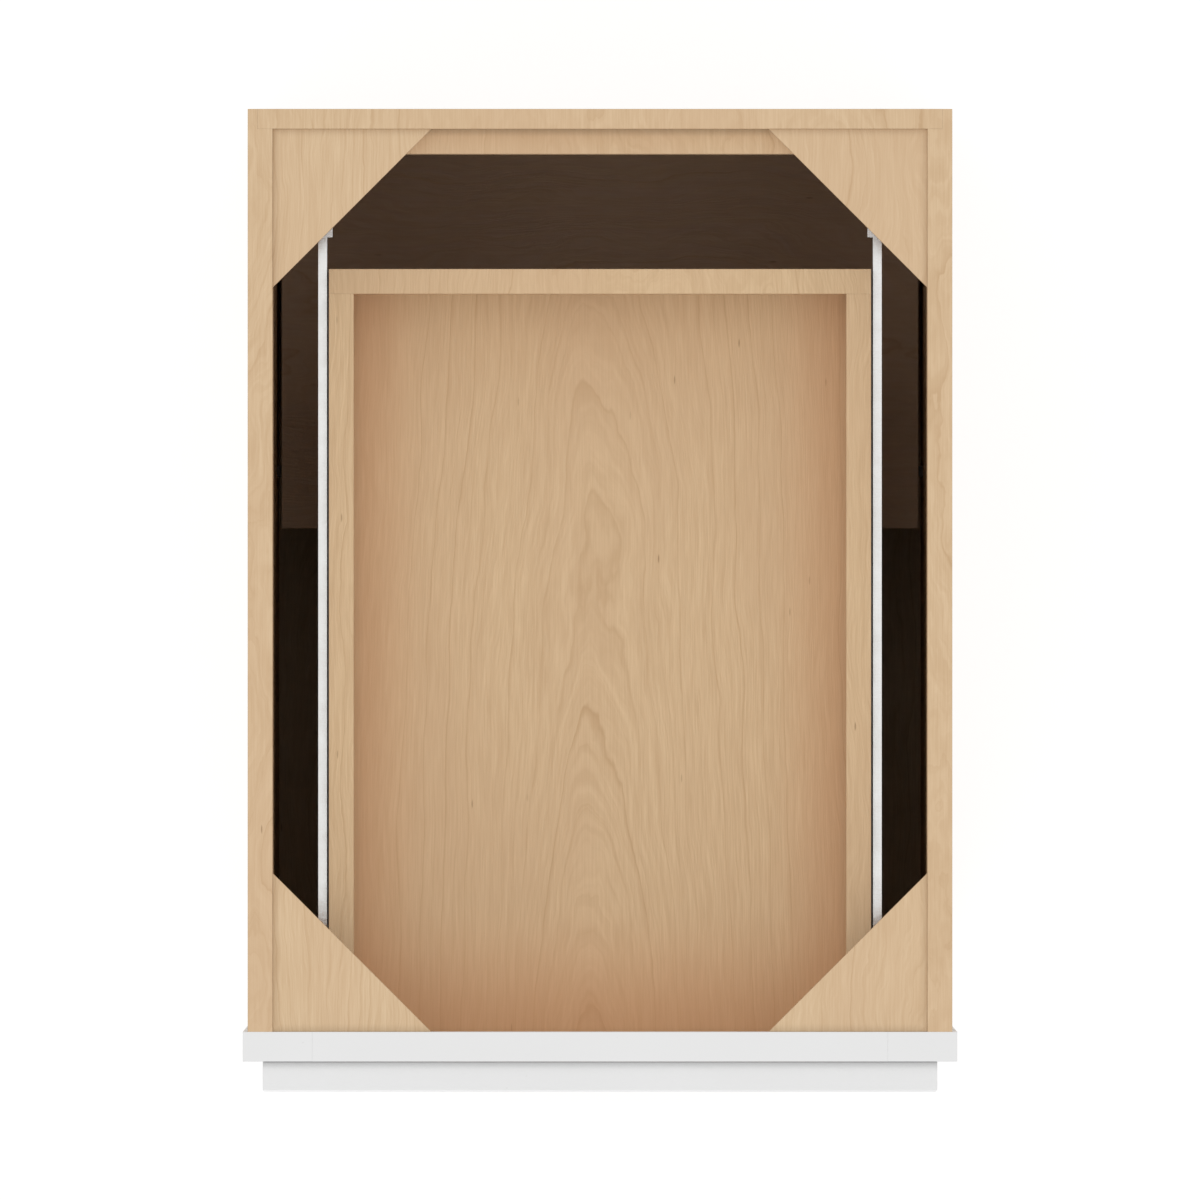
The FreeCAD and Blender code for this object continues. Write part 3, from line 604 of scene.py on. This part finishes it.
def screw(mesh, seat, direction, length, head):
    """Threaded shank and a head that is closed round a cross recess for the driver."""
    outline = [(0, -length), (thread_root, tip_length - length)]
    for turn in range(int((length - tip_length - head_height) / thread_pitch) - 1):
        foot = tip_length - length + turn * thread_pitch
        outline += [(shank_radius, foot + thread_pitch / 2), (thread_root, foot + thread_pitch)]
    outline.append((shank_radius, -head_height - thread_pitch / 2))
    part = turned(outline + head, steps=24)
    rim = [line for line in part.edges if line.is_boundary]
    corners = []
    for quarter in range(4):
        turn = Matrix.Rotation(quarter * math.pi / 2, 4, "Z")
        for x, y in recess_arm:
            corners.append(part.verts.new(turn @ Vector((x, y, head[-1][1]))))
    cross = [part.edges.new(pair) for pair in zip(corners, corners[1:] + corners[:1])]
    bmesh.ops.triangle_fill(part, edges=rim + cross, use_beauty=True, normal=(0, 0, 1))
    sunk = bmesh.ops.extrude_edge_only(part, edges=cross)["geom"]
    floor_corners = [item for item in sunk if isinstance(item, bmesh.types.BMVert)]
    bmesh.ops.translate(part, verts=floor_corners, vec=(0, 0, -recess_depth))
    bmesh.ops.scale(part, verts=floor_corners, vec=(recess_taper, recess_taper, 1))
    floor_lines = [line for line in part.edges if line.is_boundary]
    bmesh.ops.triangle_fill(part, edges=floor_lines, use_beauty=True, normal=(0, 0, 1))
    set_in(mesh, part, seat, [-step for step in direction])


tab_x = 0.18315
tab_y = -0.28515
tab_height = 0.7123
tab_screw_length = 0.016
bracket_x = 0.19163
bracket_y = 0.298225
bracket_heights = (0.702, 0.7226)
bracket_screw_length = 0.014
slide_fixings = bmesh.new()
for side in (-1, 1):
    screw(slide_fixings, (side * tab_x, tab_y, tab_height), (side, 0, 0), tab_screw_length,
          pan_head)
    for height in bracket_heights:
        screw(slide_fixings, (side * bracket_x, bracket_y, height), (0, 1, 0),
              bracket_screw_length, pan_head)
finished_piece("slide_screw_set", slide_fixings, zinc, "carcass", "zinc_steel", "slide_screws")


# Slide rollers: turned nylon wheels with a crowned tread, one at the front of each channel and one
# at the rear of each drawer runner. Each turns on a steel rivet whose domed head sits in the
# wheel's recess.
white_nylon = sprayed("white_nylon_moulding", (0.80, 0.80, 0.785, 1), (0.76, 0.76, 0.74, 1),
                      rough=0.42, peel=0.00002, easing=0.0005)
roller_height = 0.7103
roller_near = 0.17673
roller_width = 0.0031
roller_radius = 0.007
roller_bore = 0.00206
roller_recess = 0.0037
recess_floor = roller_width - 0.0010
recess_draft = 0.0001
tread_round = 0.0007
tread_crown = 0.0002
tread_edge = 0.0004
wheel = [(roller_bore, 0), (roller_bore, recess_floor), (roller_recess, recess_floor),
         (roller_recess + recess_draft, roller_width),
         (roller_radius - tread_round, roller_width),
         (roller_radius - tread_crown, roller_width - tread_edge),
         (roller_radius, roller_width / 2),
         (roller_radius - tread_crown, tread_edge), (roller_radius - tread_round, 0)]
rivet_radius = 0.0020
rivet_head = 0.0032
rivet_rise = 0.0007
rivet_gap = 0.00015
dome = [(rivet_head, 0), (rivet_head - 0.0003, rivet_rise * 0.55),
        (rivet_head * 0.6, rivet_rise * 0.9), (0, rivet_rise)]
front_roller_y = -0.260625
front_shank = 0.00355
rear_roller_y = 0.202925
rear_shank = 0.00635
for place, y, body, recess_way, shank in (("front", front_roller_y, "carcass", -1, front_shank),
                                          ("rear", rear_roller_y, "drawer", 1, rear_shank)):
    rivets = bmesh.new()
    for side, hand in ((-1, "left"), (1, "right")):
        base = roller_near if recess_way > 0 else roller_near + roller_width
        outward = (side * recess_way, 0, 0)
        node = place + "_roller_" + hand
        roller = bmesh.new()
        set_in(roller, turned(wheel, steps=56, closed=True), (side * base, y, roller_height),
               outward)
        finished_piece(node + "_wheel", roller, white_nylon, node, "white_nylon", node)
        seat_x = base + recess_way * (recess_floor + rivet_gap)
        rivet = turned([(0, -shank), (rivet_radius, -shank), (rivet_radius, 0)] + dome, steps=28)
        set_in(rivets, rivet, (side * seat_x, y, roller_height), outward)
    finished_piece(place + "_rivet_pair", rivets, zinc, body, "zinc_steel",
                   place + "_roller_rivets")


# Drawer box: maple boards with through dovetails at the four corners and a thin maple bottom in
# grooves. The ends of the tails and pins show end grain. The bottom is flat cut, with tall arches
# in its figure, and carries painted shade: warmer and darker along the sides and the front, and a
# narrow darker band along every wall.
drawer_maple = (0.738, 0.548, 0.341, 1)
dress(maple_board("drawer_side_maple", "XYZ", "ZYX", centre=(0.04, 0.35, 0.75), heart=0.05,
                  taper=0.01, pale=drawer_maple, end="Y"), "drawer_side_left", "drawer_side_right")
dress(maple_board("drawer_end_maple", "XYZ", "ZXY", centre=(0.04, 0, 0.75), heart=0.07,
                  taper=0.01, pale=drawer_maple, end="X"), "drawer_box_front", "drawer_back")
bottom_maple = maple_board("drawer_bottom_maple", "XYZ", "XYZ", centre=(-0.002, 0.030, 0.724),
                           heart=0.051, taper=0.085, rings=0.0065, sway=0.024, pale=drawer_maple)
side_groove = 0.00635
rear_groove = 0.00135
bottom_low, bottom_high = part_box("drawer_bottom")
bottom_walls = (bottom_high.x - side_groove, bottom_low.y + side_groove,
                bottom_high.y - rear_groove)
# Painted shade: a warm tint beside the sides and front, and a narrow darker band along all walls.
painted_warm_shade = (0.655, 0.345, 0.178, 1)
painted_contact_shade = (0.330, 0.215, 0.118, 1)
shade_by_walls(bottom_maple, bottom_walls, painted_warm_shade, reach=0.05, by_sides=0.33)
shade_by_walls(bottom_maple, bottom_walls, painted_warm_shade, reach=0.09, by_front=0.50)
shade_by_walls(bottom_maple, bottom_walls, painted_contact_shade, reach=0.007, by_sides=0.21, by_front=0.21,
               by_rear=0.10)
dress(bottom_maple, "drawer_bottom")


# Drawer runners: dull galvanised steel, bent to a foot under each drawer side, a leg let into it
# and a flange that runs on the rollers. Three countersunk screws hold each runner, and four pan
# heads hold the box to its front.
dull_zinc = plated("dull_zinc_strip", (0.40, 0.405, 0.41, 1), (0.31, 0.315, 0.32, 1), rough=0.62)
dress(dull_zinc, "drawer_runner_left", "drawer_runner_right")
runner_face = 0.17383
runner_screw_rows = (-0.235075, -0.041075, 0.152925)
runner_screw_height = 0.7289
runner_screw_length = 0.013
runner_fixings = bmesh.new()
for side in (-1, 1):
    for row in runner_screw_rows:
        screw(runner_fixings, (side * runner_face, row, runner_screw_height), (-side, 0, 0),
              runner_screw_length, flat_head)
finished_piece("runner_screw_set", runner_fixings, zinc, "drawer", "zinc_steel", "runner_screws")
front_screw_xs = (-0.110, 0.110)
front_screw_heights = (0.7399, 0.7869)
front_screw_length = 0.025
box_front_inside = -0.2792
front_fixings = bmesh.new()
for x in front_screw_xs:
    for height in front_screw_heights:
        screw(front_fixings, (x, box_front_inside, height), (0, -1, 0), front_screw_length,
              pan_head)
finished_piece("front_screw_set", front_fixings, zinc, "drawer", "zinc_steel",
               "drawer_front_screws")


# Drawer front and door: hardwood sprayed white like the frame. The drawer front is one board with
# a routed panel. The door is stiles and rails tongued together round a flat panel that floats in
# a groove.
dress(white_paint, "drawer_front", "door_stile_left", "door_stile_right", "door_rail_top",
      "door_rail_bottom", "door_panel")


# Concealed hinges: nickel-plated pressed steel. Each cup is let into the door and turns on a pin
# in the arm, which wraps the edge of the left stile and is screwed to it. Countersunk screws hold
# the cups.
nickel = plated("nickel_plate", (0.72, 0.70, 0.66, 1), (0.56, 0.54, 0.50, 1), rough=0.16)
dress(nickel, "hinge_cup_lower", "hinge_cup_upper", "hinge_arm_lower", "hinge_arm_upper")
hinge_heights = (0.2032, 0.5969)
pivot = (-0.20945, -0.305175)
hinge_pin_radius = 0.0012
hinge_pin_length = 0.016
hinge_pin_chamfer = 0.0003
hinge_pin = [(0, 0), (hinge_pin_radius - hinge_pin_chamfer, 0),
             (hinge_pin_radius, hinge_pin_chamfer),
             (hinge_pin_radius, hinge_pin_length - hinge_pin_chamfer),
             (hinge_pin_radius - hinge_pin_chamfer, hinge_pin_length), (0, hinge_pin_length)]
arm_x = -0.18265
arm_y = -0.28515
arm_screw_step = 0.015
arm_screw_length = 0.016
cup_x = -0.1864
cup_y = -0.295075
cup_screw_step = 0.0225
cup_screw_length = 0.014
hinge_pins = bmesh.new()
arm_fixings = bmesh.new()
cup_fixings = bmesh.new()
for height in hinge_heights:
    set_in(hinge_pins, turned(hinge_pin, steps=24), (*pivot, height - hinge_pin_length / 2),
           (0, 0, 1))
    for way in (-1, 1):
        screw(arm_fixings, (arm_x, arm_y, height + way * arm_screw_step), (-1, 0, 0),
              arm_screw_length, pan_head)
        screw(cup_fixings, (cup_x, cup_y, height + way * cup_screw_step), (0, -1, 0),
              cup_screw_length, flat_head)
finished_piece("hinge_pin_pair", hinge_pins, nickel, "door", "nickel_steel", "hinge_pins")
finished_piece("arm_screw_set", arm_fixings, nickel, "carcass", "nickel_steel", "hinge_arm_screws")
finished_piece("cup_screw_set", cup_fixings, nickel, "door", "nickel_steel", "hinge_cup_screws")


# Door bumpers: two clear soft domes stuck to the back of the door, opposite the hinges.
# They meet the face frame and keep the paint from touching it.
bumper_radius = 0.00475
bumper_rise = 0.0010
bumper_x = 0.2032
bumper_heights = (0.1524, 0.6477)
bumper_dome = [(0, 0), (bumper_radius, 0), (bumper_radius, 0.0002), (0.0044, 0.0006),
               (0.0036, 0.00085), (0.0022, 0.00097), (0, bumper_rise)]
door_back = -0.295875
clean_soft = (0.93, 0.94, 0.94, 1)
dusty_soft = (0.84, 0.85, 0.85, 1)
soft_dust_count = (900, 900, 900)
soft_rough = 0.10
soft_dust_rough = 0.25
clear_soft, soft_tree, soft, soft_coords = new_finish("clear_bumper_dome")
soft_dust = mottle(soft_tree, soft_coords["Object"], soft_dust_count, 3.0)
feed(soft_tree, tint(soft_tree, soft_dust, clean_soft, dusty_soft), soft["Base Color"])
feed(soft_tree, calc(soft_tree, "MULTIPLY_ADD", soft_dust, soft_dust_rough, soft_rough),
     soft["Roughness"])
soft["Transmission Weight"].default_value = 0.75
soft["IOR"].default_value = 1.45
bumpers = bmesh.new()
for height in bumper_heights:
    set_in(bumpers, turned(bumper_dome, steps=40), (bumper_x, door_back, height), (0, 1, 0))
finished_piece("bumper_pair", bumpers, clear_soft, "door", "clear_bumper", "door_bumpers",
               corner=1.2)


# Studio: a white floor that keeps a soft shadow, even light from all round and softboxes above and
# in front. The camera looks straight down on the open top from far off, so that the walls show
# hardly any slant.
floor_half = 40.0
floor_white = 0.8
floor_glow = 0.79
floor_share = 0.31
floor_mesh = bmesh.new()
bmesh.ops.create_grid(floor_mesh, x_segments=1, y_segments=1, size=floor_half)
floor_data = bpy.data.meshes.new("studio_floor")
floor_mesh.to_mesh(floor_data)
floor_mesh.free()
studio_floor = bpy.data.objects.new("studio_floor", floor_data)
bpy.context.scene.collection.objects.link(studio_floor)


def seen_ray(tree):
    """1 for rays from the camera, in reflections or through clear pieces, 0 for other light."""
    path = tree.nodes.new("ShaderNodeLightPath").outputs
    mirrored = calc(tree, "MAXIMUM", path["Is Glossy Ray"], path["Is Transmission Ray"])
    return calc(tree, "MAXIMUM", path["Is Camera Ray"], mirrored)


floor_paint = bpy.data.materials.new("studio_floor_paint")
floor_paint.use_nodes = True
paint_tree = floor_paint.node_tree
paint_tree.nodes.remove(paint_tree.nodes["Principled BSDF"])
matt = paint_tree.nodes.new("ShaderNodeBsdfDiffuse")
matt.inputs["Color"].default_value = (floor_white, floor_white, floor_white, 1)
seen_matt = paint_tree.nodes.new("ShaderNodeBsdfDiffuse")
seen_matt.inputs["Color"].default_value = (floor_share, floor_share, floor_share, 1)
glow = paint_tree.nodes.new("ShaderNodeEmission")
glow.inputs["Strength"].default_value = floor_glow
seen = paint_tree.nodes.new("ShaderNodeAddShader")
paint_tree.links.new(seen_matt.outputs[0], seen.inputs[0])
paint_tree.links.new(glow.outputs[0], seen.inputs[1])
either = paint_tree.nodes.new("ShaderNodeMixShader")
feed(paint_tree, seen_ray(paint_tree), either.inputs[0])
paint_tree.links.new(matt.outputs[0], either.inputs[1])
paint_tree.links.new(seen.outputs[0], either.inputs[2])
paint_tree.links.new(either.outputs[0], paint_tree.nodes["Material Output"].inputs["Surface"])
floor_data.materials.append(floor_paint)

sky_level = 0.80
sky = bpy.data.worlds.new("studio_sky")
sky.use_nodes = True
sky_tree = sky.node_tree
backdrop = sky_tree.nodes["Background"]
backdrop.inputs["Color"].default_value = (1, 1, 1, 1)
feed(sky_tree, calc(sky_tree, "MULTIPLY_ADD", seen_ray(sky_tree), 1.0 - sky_level, sky_level),
     backdrop.inputs["Strength"])
bpy.context.scene.world = sky


def softbox(name, place, target, width, height, watts, mirrored=True):
    lamp = bpy.data.lights.new(name, "AREA")
    lamp.shape = "RECTANGLE"
    lamp.size = width
    lamp.size_y = height
    lamp.energy = watts
    box = bpy.data.objects.new(name, lamp)
    box.location = place
    box.visible_glossy = mirrored
    box.rotation_euler = (Vector(target) - Vector(place)).to_track_quat("-Z", "Y").to_euler()
    bpy.context.scene.collection.objects.link(box)


softbox("overhead_softbox", place=(0, 0, 3.6), target=(0, 0, 0.9), width=2.4, height=2.4,
        watts=22, mirrored=False)
softbox("front_softbox", place=(-1.0, -3.0, 0.9), target=(0, 0, 0.45), width=1.6, height=1.2,
        watts=22)

photo_width = 0.7678
lens = 1600
sensor = 36
top_height = 0.8763
aim_y = 0.0007
camera_data = bpy.data.cameras.new("photo_camera")
camera_data.lens = lens
camera_data.sensor_width = sensor
camera_data.clip_start = 1
camera_data.clip_end = 60
camera = bpy.data.objects.new("photo_camera", camera_data)
camera.location = (0, aim_y, top_height + photo_width / sensor * lens)
bpy.context.scene.collection.objects.link(camera)
bpy.context.scene.camera = camera
bpy.context.scene.view_settings.view_transform = "Standard"
